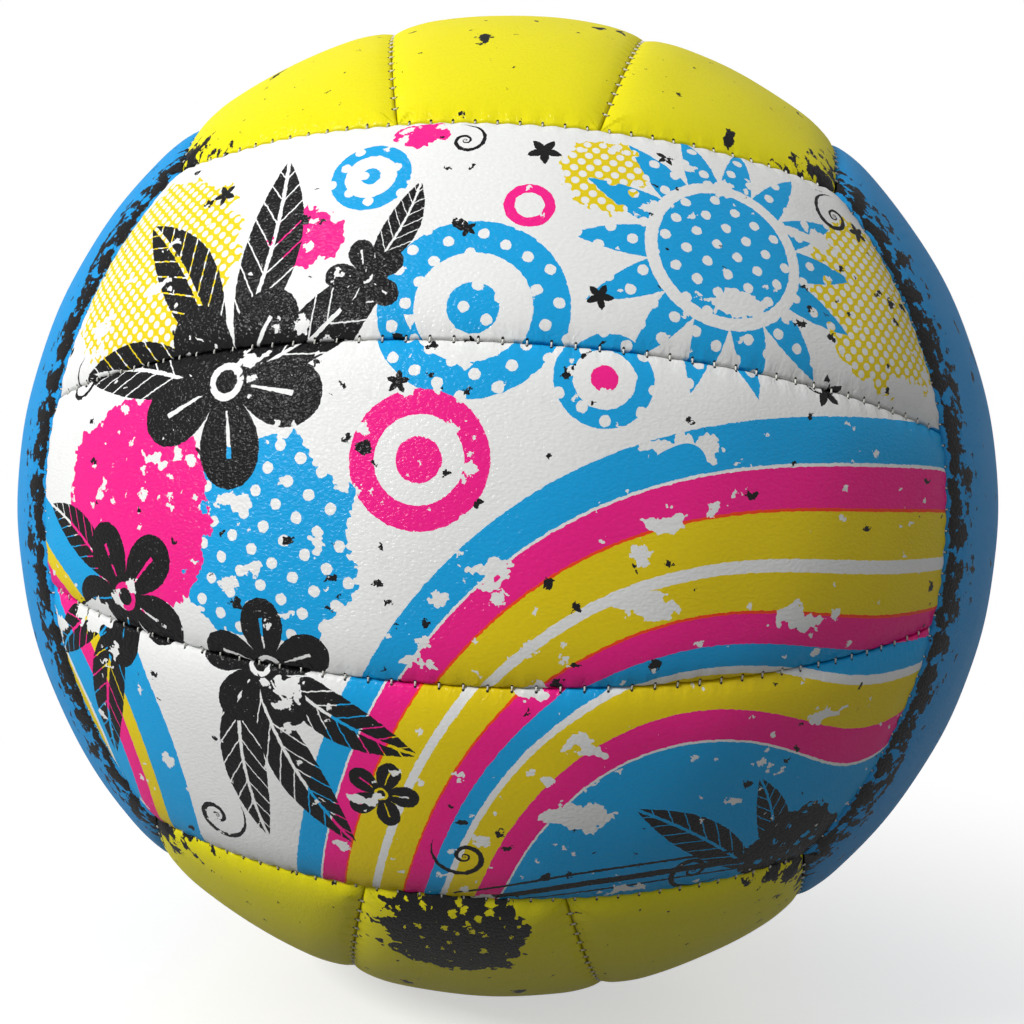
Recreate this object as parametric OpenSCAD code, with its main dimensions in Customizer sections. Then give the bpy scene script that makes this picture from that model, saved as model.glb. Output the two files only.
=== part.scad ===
// Stitched volleyball with eighteen puffed panels, in six faces of three strips each.
// The origin is the ball's centre, +Z is up and the front face looks along -Y. Sizes are in millimetres.

/* [Ball] */
// Diameter of the inflated ball
ball_d = 213; // [180:0.5:240]
// Half of the angle that a face of three strips covers, in degrees
face_half_angle = 38.7; // [37.5:0.1:40]
// Half of the angle that a middle strip covers, in degrees
strip_half_angle = 14.8; // [12:0.1:17]

/* [Cover] */
// Thickness of the synthetic leather skin
skin_t = 0.8; // [0.6:0.05:1.2]
// Width of the gap between two turned-in panel edges
seam_gap = 0.6; // [0.5:0.05:0.9]
// Depth at which two panels meet in their groove
groove_depth = 1.8; // [1:0.1:2.4]
// Width of the bevel that runs down to the groove along a panel's edge
bevel_w = 7; // [5:0.5:10]

/* [Padding] */
// Thickness of the foam pads
foam_t = 3; // [3:0.1:5]
// Thickness of the cloth backing
backing_t = 0.7; // [0.4:0.05:1.2]

/* [Stitching] */
// Distance from one stitch to the next
stitch_pitch = 4.5; // [3.5:0.1:8]
// Length of a stitch across the groove
stitch_len = 1.1; // [0.9:0.05:1.6]
// Thickness of the thread
thread_d = 0.5; // [0.3:0.05:0.5]
// How deep the thread's run lies in the gap under the stitches
run_depth = 1.2; // [0.8:0.1:1.6]

/* [Bladder and valve] */
// Thickness of the bladder's wall
bladder_wall = 1; // [0.6:0.1:1.6]
// Outer diameter of the valve's neck
neck_d = 9; // [8:0.1:11]
// How far the neck reaches into the ball under the bladder's wall
neck_tail = 10; // [8:0.5:14]
// How far the neck's mouth lies below the ball's surface
neck_recess = 0.9; // [0.4:0.1:1.4]
// Diameter of the patch that bonds the neck to the bladder
patch_d = 26; // [20:0.5:36]
// Thickness of that patch
patch_t = 1.4; // [0.8:0.1:2]
// Diameter of the self-sealing core
core_d = 5.2; // [4.4:0.1:6]
// Diameter of the inflation needle's bore
needle_bore_d = 1.9; // [1.6:0.1:2.2]
// Depth of that bore below the core's mouth
needle_bore_depth = 10; // [7:0.5:12]
// Diameter of the bore's flared mouth
mouth_d = 3.2; // [2.6:0.1:3.8]
// Depth of that flare
mouth_depth = 0.7; // [0.4:0.1:1]

/* [Hidden] */
$fn = 90;
ROWS = [-1, 0, 1];
// A face's name, its rotation from the pattern's own pose, where the strips lie along X and face +Z, and its rows' names
FACES = [
    ["front", [90, 0, 0], ["lower", "middle", "upper"]],
    ["back", [90, 0, 180], ["lower", "middle", "upper"]],
    ["left", [0, -90, 0], ["fore", "middle", "aft"]],
    ["right", [0, 90, 0], ["fore", "middle", "aft"]],
    ["top", [0, 0, 90], ["right", "middle", "left"]],
    ["bottom", [0, 180, 90], ["right", "middle", "left"]],
];
PANELS = [for (face = FACES, row = ROWS) str(face[0], "_", face[2][row + 1])];

// Clearance between a stitch and the groove's walls
stitch_fit = 0.05;
// Play between the bladder and the cover that it fills
bladder_fit = 0.05;
// Play between the valve's neck and the hole through the panel
neck_fit = 0.15;
// Distance from a seam's end to its last bit of thread
seam_end = 3;

ball_r = ball_d / 2;
half_gap = seam_gap / 2;
cover_t = skin_t + foam_t + backing_t;
stitch_level = ball_r - groove_depth;

// A long edge of a face is a circle through two corners of the inscribed cube.
// Its plane leans by edge_tilt and passes the centre at edge_share of the ball's radius.
corner_share = 1 / sqrt(3);
edge_slope = (sin(face_half_angle) - corner_share) / (cos(face_half_angle) - corner_share);
edge_tilt = atan(edge_slope);
edge_share = corner_share * (1 - edge_slope) * cos(edge_tilt);
edge_half_angle = asin(corner_share / sqrt(1 - edge_share ^ 2));
// A seam inside a face ends where it meets the plane of the neighbouring face's long edge.
end_slope = norm([cos(strip_half_angle), edge_slope]);
end_turn = atan(edge_slope / cos(strip_half_angle));
end_share = edge_share * ball_r / stitch_level;
strip_seam_half_angle = acos(end_share / cos(edge_tilt) / end_slope) - end_turn;

// The bevel beside a seam in the ball's equator plane, drawn across the seam: X points out of the ball
bevel_run = bevel_w / ball_r * 180 / PI;
bevel_chord = ball_r * [cos(bevel_run), sin(bevel_run)] - [stitch_level, 0];
groove_slope = bevel_chord.x / bevel_chord.y;
stitch_lift = (stitch_len / 2 + stitch_fit - half_gap) * groove_slope + thread_d / 2;

// What lies beyond one edge of a panel. The seam circle's axis is Z, and the panel lies below the seam.
// The share places the seam's plane along that axis, in radii of the ball.
module beyond_edge(share, inset) {
    edge_h = ball_r * share - half_gap;
    edge = [sqrt(stitch_level ^ 2 - edge_h ^ 2), edge_h];
    crest_angle = asin(edge_h / stitch_level) - bevel_run;
    slope = ball_r * [cos(crest_angle), sin(crest_angle)] - edge;
    along = slope / norm(slope);
    inward = [along.y, -along.x];
    foot = edge + inset * (inward + [0, -1]) / (1 - inward.y);
    crest = foot + ball_r * tan(bevel_run) * 3 * along;
    rotate_extrude()
        polygon([[0, foot.y], foot, crest, [ball_d, crest.y], [ball_d, ball_d], [0, ball_d]]);
}

// A panel's outline: what lies beyond its four edges is cut from the child
module within_edges(row, inset) {
    difference() {
        children();
        for (side = [-1, 1])
            rotate([0, side * (180 - edge_tilt), 0])
                beyond_edge(-edge_share, inset);
        if (row == 0)
            for (side = [0, 1])
                mirror([0, side, 0])
                    rotate([-(90 + strip_half_angle), 0, 0])
                        beyond_edge(0, inset);
        else
            mirror([0, row < 0 ? 1 : 0, 0]) {
                rotate([90 - strip_half_angle, 0, 0])
                    beyond_edge(0, inset);
                rotate([-(90 + edge_tilt), 0, 0])
                    beyond_edge(edge_share, inset);
            }
    }
}

// One panel's puffed shape down to the ball's centre, drawn in by inset on its top and its edges
module puffed_panel(row, inset) {
    within_edges(row, inset)
        sphere(ball_r - inset);
}

// The hole for the valve's neck through one panel
module neck_hole() {
    cylinder(h = ball_d, d = neck_d + 2 * neck_fit);
}

module skin(row, has_valve) {
    color(row == 0 ? "white" : "deepskyblue")
        difference() {
            puffed_panel(row, 0);
            puffed_panel(row, skin_t);
            sphere(ball_r - cover_t);
            if (has_valve)
                neck_hole();
        }
}

module foam_pad(row, has_valve) {
    color("lightyellow")
        difference() {
            puffed_panel(row, skin_t);
            sphere(ball_r - skin_t - foam_t);
            if (has_valve)
                neck_hole();
        }
}

module backing(row, has_valve) {
    color("ivory")
        difference() {
            within_edges(row, skin_t)
                sphere(ball_r - skin_t - foam_t);
            sphere(ball_r - cover_t);
            if (has_valve)
                neck_hole();
        }
}

// The thread along one seam: a run in the gap, and the stitches that bridge the groove over it.
// The tilt is the seam plane's angle from the face's normal, and the share places it as above.
module seam_thread(tilt, share, half_angle) {
    seam_h = ball_r * share;
    seam_r = sqrt(stitch_level ^ 2 - seam_h ^ 2);
    turn = half_angle - seam_end / seam_r * 180 / PI;
    count = floor(2 * turn * PI / 180 * seam_r / stitch_pitch);
    step = 2 * turn / count;
    color("white")
        rotate([-(90 + tilt), 0, 0])
            rotate([0, 0, -90 - turn]) {
                rotate_extrude(angle = 2 * turn)
                    translate([seam_r - run_depth, seam_h - thread_d / 2])
                        square([run_depth - half_gap, thread_d]);
                for (i = [0:count - 1])
                    rotate([0, -asin(seam_h / stitch_level), (i + 0.5) * step])
                        translate([stitch_level + stitch_lift, 0, 0])
                            cube([thread_d, thread_d, stitch_len], center = true);
            }
}

module stitching() {
    for (side = [0, 1])
        mirror([0, side, 0]) {
            seam_thread(strip_half_angle, 0, strip_seam_half_angle);
            seam_thread(edge_tilt, edge_share, edge_half_angle);
        }
}

bladder_r = ball_r - cover_t - bladder_fit;
bladder_inner_r = bladder_r - bladder_wall;
neck_foot = bladder_inner_r - patch_t - neck_tail;
neck_top = ball_r - neck_recess;

module bladder() {
    color("dimgray")
        difference() {
            sphere(bladder_r);
            sphere(bladder_inner_r);
            cylinder(h = ball_d, d = neck_d);
        }
}

module valve_patch() {
    color("gray")
        difference() {
            intersection() {
                sphere(bladder_inner_r);
                cylinder(h = ball_d, d = patch_d);
            }
            sphere(bladder_inner_r - patch_t);
            cylinder(h = ball_d, d = neck_d);
        }
}

module valve_body() {
    color("silver")
        translate([0, 0, neck_foot])
            difference() {
                cylinder(h = neck_top - neck_foot, d = neck_d);
                translate([0, 0, -neck_recess])
                    cylinder(h = neck_top, d = core_d);
            }
}

module valve_core() {
    color("lightgray")
        difference() {
            translate([0, 0, neck_foot])
                cylinder(h = neck_top - neck_foot, d = core_d);
            translate([0, 0, neck_top - needle_bore_depth])
                cylinder(h = needle_bore_depth + neck_recess, d = needle_bore_d);
            translate([0, 0, neck_top - mouth_depth])
                cylinder(h = mouth_depth, d1 = needle_bore_d, d2 = mouth_d);
        }
}

// The valve stands in the middle of the back face.
VALVE_FACE = FACES[1];

for (face = FACES) {
    valved = face[0] == VALVE_FACE[0];
    rotate(face[1]) {
        for (row = ROWS) {
            panel = str(face[0], "_", face[2][row + 1]);
            skin(row, valved && row == 0);
            foam_pad(row, valved && row == 0);
            backing(row, valved && row == 0);
        }
        stitching();
    }
}
rotate(VALVE_FACE[1]) {
    bladder();
    valve_patch();
    valve_body();
    valve_core();
}
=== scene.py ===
# %% [markdown]
# # A stitched volleyball
# The ball is eighteen soft panels over foam, sewn edge to edge round a rubber bladder. Six faces carry
# three strips each, and each face's strips run across those of its neighbours. The CAD model gives
# the true pieces and sizes. This script dresses them: puffed leather, sewn grooves, thread and print.
# Sizes are in millimetres, and points become metres when they are placed on the ball.

# %% Load the frame
import math

import bmesh
import bpy
import numpy as np
from mathutils import Euler, Matrix, Vector


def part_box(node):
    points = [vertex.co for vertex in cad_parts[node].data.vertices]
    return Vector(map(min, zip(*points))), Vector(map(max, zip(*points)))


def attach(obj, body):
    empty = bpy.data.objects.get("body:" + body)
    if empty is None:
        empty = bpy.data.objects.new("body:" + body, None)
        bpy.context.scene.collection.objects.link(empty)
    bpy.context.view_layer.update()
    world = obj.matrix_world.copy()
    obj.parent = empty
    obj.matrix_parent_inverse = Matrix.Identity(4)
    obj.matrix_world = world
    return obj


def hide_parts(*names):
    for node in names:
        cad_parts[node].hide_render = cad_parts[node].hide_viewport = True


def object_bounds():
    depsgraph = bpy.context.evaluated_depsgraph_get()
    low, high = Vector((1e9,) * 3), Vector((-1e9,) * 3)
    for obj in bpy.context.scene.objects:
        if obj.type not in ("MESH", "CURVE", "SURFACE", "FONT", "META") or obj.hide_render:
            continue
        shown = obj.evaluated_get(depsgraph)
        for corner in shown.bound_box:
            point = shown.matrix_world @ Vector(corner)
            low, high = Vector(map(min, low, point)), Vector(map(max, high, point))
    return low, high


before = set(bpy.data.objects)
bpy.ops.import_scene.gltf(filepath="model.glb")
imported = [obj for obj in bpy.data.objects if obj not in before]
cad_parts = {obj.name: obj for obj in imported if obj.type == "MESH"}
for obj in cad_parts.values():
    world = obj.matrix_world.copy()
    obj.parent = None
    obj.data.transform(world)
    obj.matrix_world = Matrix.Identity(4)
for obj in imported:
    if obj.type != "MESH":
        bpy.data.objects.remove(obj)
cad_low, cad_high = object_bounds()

# %% [markdown]
# ## Sizes
# Everything is worked out from the frame: the ball's radius, how thick the cover is down to the
# bladder, and how wide the valve's neck is. The two angles that lay out the panels are the CAD
# model's own: half of what a face of three strips covers, and half of what its middle strip covers.

# %% Measure the frame
MM = 0.001
ball_r = (cad_high.x - cad_low.x) / 2 / MM
bladder_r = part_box("bladder")[1].x / MM
cover_t = ball_r - bladder_r
neck_low, neck_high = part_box("valve_body")
neck_r = (neck_high.x - neck_low.x) / 2 / MM
face_half = math.radians(38.7)
strip_half = math.radians(14.8)
print(f"ball radius {ball_r:.2f} mm, cover {cover_t:.2f} mm, valve neck {2 * neck_r:.1f} mm")

# %% [markdown]
# ## Where the seams lie
# Each face is drawn once, lying along X and facing +Z. The two seams inside it are great circles.
# Its long edges are circles through the corners of the cube inside the ball, so that three faces
# meet at each corner, as on the real ball.

# %% Seam circles
corner = 1 / math.sqrt(3)
edge_slope = (math.sin(face_half) - corner) / (math.cos(face_half) - corner)
edge_norm = math.hypot(1, edge_slope)
edge_share = corner * (1 - edge_slope) / edge_norm
inner_seam = (math.cos(strip_half), -math.sin(strip_half), 0.0)
outer_seam = (1 / edge_norm, -edge_slope / edge_norm, edge_share)
STRIPS = {
    0: ((math.cos(strip_half), math.sin(strip_half), 0.0), inner_seam, 2 * strip_half),
    1: (inner_seam, outer_seam, face_half - strip_half),
}
FACES = {
    "front": ((1, 0, 0), (0, 0, 1), (0, -1, 0), ("lower", "middle", "upper")),
    "back": ((-1, 0, 0), (0, 0, 1), (0, 1, 0), ("lower", "middle", "upper")),
    "left": ((0, 0, 1), (0, 1, 0), (-1, 0, 0), ("fore", "middle", "aft")),
    "right": ((0, 0, -1), (0, 1, 0), (1, 0, 0), ("fore", "middle", "aft")),
    "top": ((0, 1, 0), (-1, 0, 0), (0, 0, 1), ("right", "middle", "left")),
    "bottom": ((0, -1, 0), (-1, 0, 0), (0, 0, -1), ("right", "middle", "left")),
}
print(f"a long edge passes the centre at {edge_share * ball_r:.1f} mm")

# %% [markdown]
# ## The shape of a sewn edge
# Leather pulled over foam rolls down to its seam in three steps: a wide soft shoulder, a steeper brow
# beside the seam, then a tight fold into the groove. Where two edges meet at a corner their depths
# blend. Each stitch also pulls the edge in a little, which gives the row of small puckers that runs
# beside every seam. A cloth simulation could find such a shape, but it would blur the seams. A sum
# of curves over the distance to the seam keeps them sharp and is the same in every run.

# %% Groove profile
half_gap = 0.08
skin_t = 0.8
shoulder_w = 9.0
shoulder_depth = 0.95
brow_w = 3.4
brow_depth = 0.4
fold_r = 0.45
pucker_depth = 0.14
pucker_reach = 2.2
stitch_pitch = 3.8
seam_end = 3.0


def groove(distance):
    """How deep the leather lies at a distance from its seam."""
    shoulder = shoulder_depth * np.clip(1 - distance / shoulder_w, 0, 1) ** 2
    brow = brow_depth * np.clip(1 - distance / brow_w, 0, 1) ** 2
    tuck = fold_r - np.clip(distance - half_gap, 0, fold_r)
    return shoulder + brow + fold_r - np.sqrt(fold_r**2 - tuck**2)


def seam_ends():
    """Half the turned length of a seam inside a face and of a long edge, in radians, at the stitches."""
    lean = math.hypot(math.cos(strip_half), edge_slope)
    inside = math.acos(edge_share * edge_norm / lean) - math.atan(edge_slope / math.cos(strip_half))
    return inside, math.asin(corner / math.sqrt(1 - edge_share**2))


def stitch_steps(share, half_turn):
    """How many stitches a seam holds, and the turn from one to the next."""
    seam_r = ball_r * math.sqrt(1 - share**2)
    turn = half_turn - seam_end / seam_r
    count = int(2 * turn * seam_r / stitch_pitch)
    return count, 2 * turn / count


inside_half, edge_half = seam_ends()
STITCHES = {"inside": stitch_steps(0, inside_half), "edge": stitch_steps(edge_share, edge_half)}
print("stitches in a seam", {name: steps[0] for name, steps in STITCHES.items()})

# %% [markdown]
# ## A panel as a grid
# A panel is a grid of rows along the strip. The rows belong to one family of planes that turns
# evenly from one seam to the other, so no row ever leaves the ball. Rows and columns crowd together
# at the edges, where the leather bends most, and are wide apart in the smooth middle.

# %% Rows and columns
EDGE_STEPS = np.array([0, 0.03, 0.12, 0.28, 0.5, 0.78, 1.1, 1.5, 2.0, 2.7, 3.5, 4.5])
row_step = 1.1


def spread(length, inset):
    """Places across a length, crowded at both ends."""
    edge = inset + EDGE_STEPS
    count = int((length - 2 * EDGE_STEPS[-1]) / row_step)
    middle = np.linspace(edge[-1], length - edge[-1], count)[1:-1]
    return np.concatenate([edge, middle, length - edge[::-1]])


def strip_directions(row, inset):
    """The unit directions of a strip's grid, drawn in from its seams by the inset."""
    first, last, angle = STRIPS[abs(row)]
    width = angle * ball_r
    share = (spread(width, inset) / width)[:, None]
    normal = (1 - share) * np.array(first[:2]) + share * np.array(last[:2])
    offset = (1 - share) * first[2] + share * last[2]
    size = np.linalg.norm(normal, axis=1, keepdims=True)
    normal = normal / size
    offset = offset / size
    reach = np.sqrt(1 - offset**2)
    out_y = -normal[:, 1:]
    out_z = normal[:, :1]
    end_cos = (edge_share * edge_norm - normal[:, 1:] * offset) / (reach * np.hypot(out_z, edge_slope))
    half_turn = np.arccos(end_cos) - np.arctan2(edge_slope, out_z)
    columns = spread(2 * half_turn.mean() * reach.mean() * ball_r, inset)
    edge = len(EDGE_STEPS)
    length = 2 * half_turn * reach * ball_r
    inner = (columns[edge:-edge] - columns[edge - 1]) / (columns[-edge] - columns[edge - 1])
    start = np.broadcast_to(inset + EDGE_STEPS, (len(share), edge))
    middle = start[:, -1:] + inner * (length - 2 * start[:, -1:])
    place = np.concatenate([start, middle, length - start[:, ::-1]], axis=1)
    turn = place / (reach * ball_r) - half_turn
    x = reach * np.sin(turn)
    y = normal[:, :1] * offset + reach * np.cos(turn) * out_y
    z = normal[:, 1:] * offset + reach * np.cos(turn) * out_z
    grid = np.stack([x, y, z], axis=2)
    if row < 0:
        grid = grid[::-1] * np.array([1, -1, 1])
    return grid


def seams_of(row):
    """A strip's four seam planes: outward normal, share of the radius, stitching, direction along it."""
    first, last, _ = STRIPS[abs(row)]
    mirror = -1 if row < 0 else 1
    far_name = "edge" if row else "inside"
    return [
        (np.array([0, -mirror * first[0], -first[1]]), -first[2], "inside", np.array([1, 0, 0])),
        (np.array([0, mirror * last[0], last[1]]), last[2], far_name, np.array([1, 0, 0])),
        (np.array([edge_slope, 0, -1]) / edge_norm, -edge_share, "edge", np.array([0, 1, 0])),
        (np.array([-edge_slope, 0, -1]) / edge_norm, -edge_share, "edge", np.array([0, 1, 0])),
    ]


print("edge rows", len(EDGE_STEPS), "on each side of a strip")

# %% [markdown]
# ## How deep each point lies
# The depth of a point comes from its distances to the four seams. A power mean joins them, so that
# a corner is deeper than one seam alone but stays round. Foam is never quite even, so the leather
# also swells and sinks by about a tenth of a millimetre.

# %% Depth of the leather
corner_blend = 3.0
unevenness = 0.09
# Two waves that cross over the ball, as a direction times the wave's turn for each radius.
first_wave = np.array([23, 9, 4])
second_wave = np.array([-7, 19, 11])


def seam_fields(grid, row):
    """Distance to the nearest seam, place along its stitches, and depth below the ball's sphere."""
    nearest = np.full(grid.shape[:2], ball_r)
    sewn_at = np.zeros(grid.shape[:2])
    total = np.zeros(grid.shape[:2])
    pull = np.zeros(grid.shape[:2])
    for normal, share, stitching, along in seams_of(row):
        distance = ball_r * (math.asin(share) - np.arcsin(np.clip(grid @ normal, -1, 1)))
        distance = np.maximum(distance, half_gap)
        up = np.cross(normal, along)
        up = up * math.copysign(1, up[2])
        turn = np.arctan2(grid @ along, grid @ up)
        count, step = STITCHES[stitching]
        sewn = np.abs(turn) < count * step / 2
        wave = np.cos(2 * math.pi * (turn / step + count / 2 - 0.5))
        pull += pucker_depth * wave * sewn * np.exp(-((distance / pucker_reach) ** 2))
        total += groove(distance) ** corner_blend
        sewn_at = np.where(distance < nearest, np.clip(turn / step + count / 2, 0, count), sewn_at)
        nearest = np.minimum(nearest, distance)
    swell = np.sin(grid @ first_wave + row) * np.sin(grid @ second_wave + 2 * row)
    return nearest, sewn_at, total ** (1 / corner_blend) + pull + unevenness * (1 + swell)


middle_row = strip_directions(0, half_gap)
print("grid of a middle strip", middle_row.shape[:2])

# %% [markdown]
# ## A panel as a closed shell
# A real panel is cut from 0.8 mm synthetic leather and its edges are turned in. The mesh is the
# same thing: an outer grid, an inner grid, and four walls that go down to the bladder between
# neighbouring panels. Numpy makes all its points at once, which is much faster than adding them singly.
# One panel has a round hole for the valve. The square cells round it are bent until they fit it.

# %% The valve's hole
hole_fit = 0.15
hole_margin = 0.4
hole_blend = 3.0


def hole_block(grid, radius):
    """The block of cells round the strip's centre that the hole takes up."""
    flat = np.abs(grid[..., :2]) * ball_r
    rows = np.nonzero(flat[:, grid.shape[1] // 2, 1] < radius + hole_margin)[0]
    columns = np.nonzero(flat[grid.shape[0] // 2, :, 0] < radius + hole_margin)[0]
    return rows[0], rows[-1], columns[0], columns[-1]


def open_hole(grid, radius, block):
    """Bend the grid so that the block's outline becomes a circle."""
    flat = grid[..., :2] * ball_r
    square = flat / np.array([-flat[block[0], block[2], 0], -flat[block[0], block[2], 1]])
    ring = np.abs(square).max(axis=2, keepdims=True)
    length = np.maximum(np.linalg.norm(square, axis=2, keepdims=True), 1e-9)
    share = np.clip((ring - 1) / (hole_blend - 1), 0, 1)
    share = share * share * (3 - 2 * share)
    flat = (radius * ring * square / length * (1 - share) + flat * share) / ball_r
    height = np.sqrt(1 - (flat**2).sum(axis=2, keepdims=True))
    return np.concatenate([flat, height], axis=2)


print("rows and columns cut out for the valve", hole_block(middle_row, neck_r))

# %% Build a panel's shell


def loop_of(rows, columns, top=0, left=0):
    """The vertices round a block of the grid, anticlockwise seen from outside."""
    lower = [(top, j) for j in range(left, columns)]
    right = [(i, columns) for i in range(top, rows)]
    upper = [(rows, j) for j in range(columns, left, -1)]
    back = [(i, left) for i in range(rows, top, -1)]
    return np.array(lower + right + upper + back)


def walls(first, second):
    """Quads from one loop of vertices down to the next."""
    return np.stack([first, second, np.roll(second, -1), np.roll(first, -1)], axis=1)


def panel_shell(row, has_valve):
    """Points, quads and fields of one strip in the pattern's own pose."""
    outer = strip_directions(row, half_gap)
    inner = strip_directions(row, half_gap + skin_t)
    block = hole_block(outer, neck_r) if has_valve else None
    if block:
        outer, inner = [open_hole(grid, neck_r + hole_fit, block) for grid in (outer, inner)]
    near_outer, sewn_outer, deep_outer = seam_fields(outer, row)
    near_inner, sewn_inner, deep_inner = seam_fields(inner, row)
    rows, columns = outer.shape[:2]
    number = np.arange(rows * columns).reshape(rows, columns)
    cells = np.ones((rows - 1, columns - 1), dtype=bool)
    if block:
        cells[block[0]:block[1], block[2]:block[3]] = False
    quads = np.stack([number[:-1, :-1], number[:-1, 1:], number[1:, 1:], number[1:, :-1]], axis=2)[cells]
    loop = loop_of(rows - 1, columns - 1)
    edge = number[loop[:, 0], loop[:, 1]]
    lift = rows * columns
    foot = 2 * lift + np.arange(len(edge))
    inner_foot = foot + len(edge)
    faces = [quads, quads[:, ::-1] + lift, walls(edge, foot), walls(edge + lift, inner_foot)[:, ::-1]]
    faces.append(walls(foot, inner_foot))
    if block:
        hole = loop_of(block[1], block[3], block[0], block[2])
        rim = number[hole[:, 0], hole[:, 1]]
        faces.append(walls(rim, rim + lift)[:, ::-1])
    base = ball_r - cover_t
    points = np.concatenate([
        (outer * (ball_r - deep_outer)[..., None]).reshape(-1, 3),
        (inner * (ball_r - deep_inner - skin_t)[..., None]).reshape(-1, 3),
        outer[loop[:, 0], loop[:, 1]] * base,
        inner[loop[:, 0], loop[:, 1]] * base,
    ])
    unsewn = np.zeros(2 * len(edge))
    fields = {
        "seam_mm": np.concatenate([near_outer.ravel(), near_inner.ravel(), unsewn]),
        "stitch_at": np.concatenate([sewn_outer.ravel(), sewn_inner.ravel(), unsewn]),
    }
    return points, np.concatenate(faces), fields


points, faces, fields = panel_shell(1, False)
print("a side strip has", len(points), "points and", len(faces), "quads")

# %% [markdown]
# ## From numbers to objects
# A face's three directions carry its points from the pattern's pose to their place on the ball.
# Each point also stores where it lies on the flat print and how far it is from its seam. The
# materials read these, so the print keeps its true scale on every panel.

# %% Make objects from arrays


def placed(points, face):
    """Points in the pattern's pose, in millimetres, to the ball's frame, in metres."""
    return points @ np.array(FACES[face][:3], dtype=float) * MM


def make_piece(name, points, faces, fields):
    """A smooth mesh object from arrays, with its fields as attributes of the points."""
    mesh = bpy.data.meshes.new(name)
    mesh.from_pydata(points.tolist(), [], faces.tolist())
    for field, values in fields.items():
        kind = "FLOAT_VECTOR" if values.ndim == 2 else "FLOAT"
        attribute = mesh.attributes.new(field, kind, "POINT")
        attribute.data.foreach_set("vector" if values.ndim == 2 else "value", values.ravel())
    mesh.shade_smooth()
    mesh.validate()
    piece = bpy.data.objects.new(name, mesh)
    bpy.context.scene.collection.objects.link(piece)
    return piece


def print_place(points):
    """Where points lie on the flat print: true distances from the middle of their face."""
    unit = points / np.linalg.norm(points, axis=1, keepdims=True)
    angle = np.arccos(np.clip(unit[:, 2], -1, 1))
    flat = np.linalg.norm(unit[:, :2], axis=1)
    spread_by = ball_r * angle / np.maximum(flat, 1e-9)
    return np.stack([unit[:, 0] * spread_by, unit[:, 1] * spread_by, np.zeros(len(unit))], axis=1)


def rim_distances(points):
    """Distances to the face's long edges and to its strips' ends, in millimetres."""
    x, y, z = (points / np.linalg.norm(points, axis=1, keepdims=True)).T
    rim = math.asin(edge_share)
    sides = rim - np.arcsin(np.clip((np.abs(y) - edge_slope * z) / edge_norm, -1, 1))
    ends = np.arcsin(np.clip((z - edge_slope * np.abs(x)) / edge_norm, -1, 1)) - rim
    return ball_r * sides, ball_r * ends


# Each strip is cut out by hand from printed sheet, so the print steps a little at the seams.
PRINT_SHIFT = {-1: (1.5, -0.5, 0), 0: (0, 0, 0), 1: (-0.9, 0.4, 0)}
panels = {}
for face, (_, _, _, names) in FACES.items():
    for row, strip in zip((-1, 0, 1), names):
        points, faces, fields = panel_shell(row, face == "back" and row == 0)
        fields["print_mm"] = print_place(points) + np.array(PRINT_SHIFT[row])
        fields["long_mm"], fields["end_mm"] = rim_distances(points)
        node = f"cover_{face}_{strip}"
        piece = make_piece(node.replace("cover", "panel"), placed(points, face), faces, fields)
        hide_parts(node)
        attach(piece, "root")
        panels[(face, strip)] = piece
print(len(panels), "panels")

# %% [markdown]
# ## Thread
# Each stitch is a short bridge of two-ply thread over the groove. It comes out of one needle hole,
# crosses, and dives into the other. Underneath, one long run joins the stitches. A curve with a
# round bevel could draw them, but smooth as wire. So a tube is swept along the path, and two lobes
# that twist round the path give the plies.

# %% Sew the seams
thread_r = 0.15
thread_sides = 10
run_r = 0.12
run_sides = 8
run_level = 2.3
run_steps = 3
ply_lobe = 0.16
ply_turn = 0.9
# A stitch's points, each as its distance across the seam and its depth below the ball's surface.
STITCH_PATH = np.array([
    (-0.42, 1.9), (-0.38, 1.61), (-0.29, 1.45), (-0.15, 1.39), (0, 1.42),
    (0.15, 1.39), (0.29, 1.45), (0.38, 1.61), (0.42, 1.9),
])


def swept_tube(path, radius, sides):
    """A capped, two-ply tube along a path that lies in one plane. Returns its points and faces."""
    tangent = np.gradient(path, axis=0)
    tangent /= np.linalg.norm(tangent, axis=1, keepdims=True)
    flat = np.cross(path[1] - path[0], path[-1] - path[0])
    flat = flat / np.linalg.norm(flat)
    side = np.cross(tangent, flat)
    around = np.arange(sides) * 2 * math.pi / sides
    ply = np.cos(2 * around - np.arange(len(path))[:, None] * ply_turn)
    size = radius * (1 + ply_lobe * ply)[..., None]
    ring = np.cos(around)[None, :, None] * flat + np.sin(around)[None, :, None] * side[:, None, :]
    points = (path[:, None, :] + size * ring).reshape(-1, 3)
    number = np.arange(len(points)).reshape(len(path), sides)
    beside = np.roll(number, -1, axis=1)
    quads = np.stack([number[:-1], beside[:-1], beside[1:], number[1:]], axis=2).reshape(-1, 4)
    return points, quads.tolist(), [number[0, ::-1].tolist(), number[-1].tolist()]


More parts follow.
